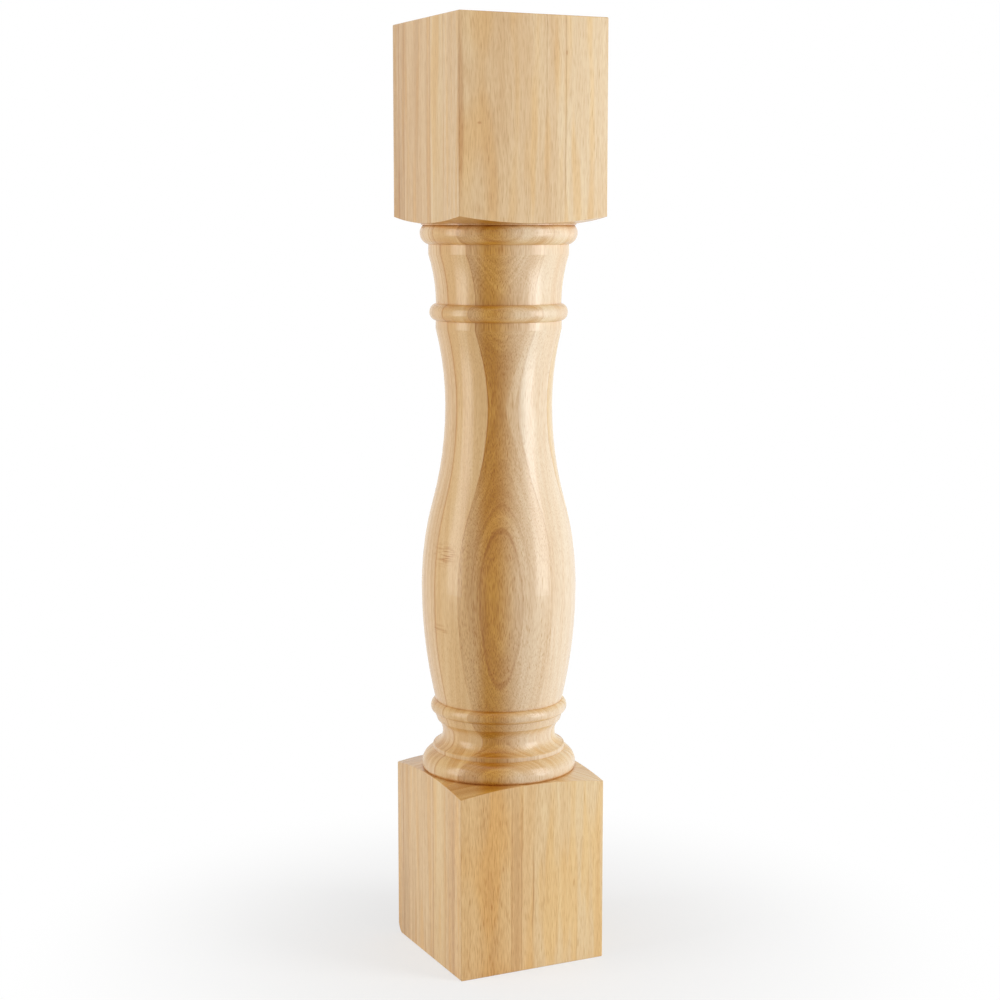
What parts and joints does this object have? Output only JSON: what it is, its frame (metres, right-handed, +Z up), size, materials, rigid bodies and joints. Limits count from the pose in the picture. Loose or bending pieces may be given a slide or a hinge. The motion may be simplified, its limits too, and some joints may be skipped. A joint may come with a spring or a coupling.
{
  "type": "turned wooden post",
  "caption": "Solid wood furniture leg: square block at head and foot, with a turned vase, cove, beads and rings between them.",
  "frame": {"origin": "centre of the foot's underside, on the lathe axis", "axes": "+Z up along the lathe axis from foot to head; X and Y square to the faces of the two blocks; the picture shows the -Y face on the right and the -X face on the left"},
  "size_m": [0.1524, 0.1524, 0.9017],
  "materials": {
    "wood": "clear satin lacquer over pale honey-coloured hardwood"
  },
  "bodies": {
    "root": {"turned_post": "wood"}
  },
  "joints": []
}
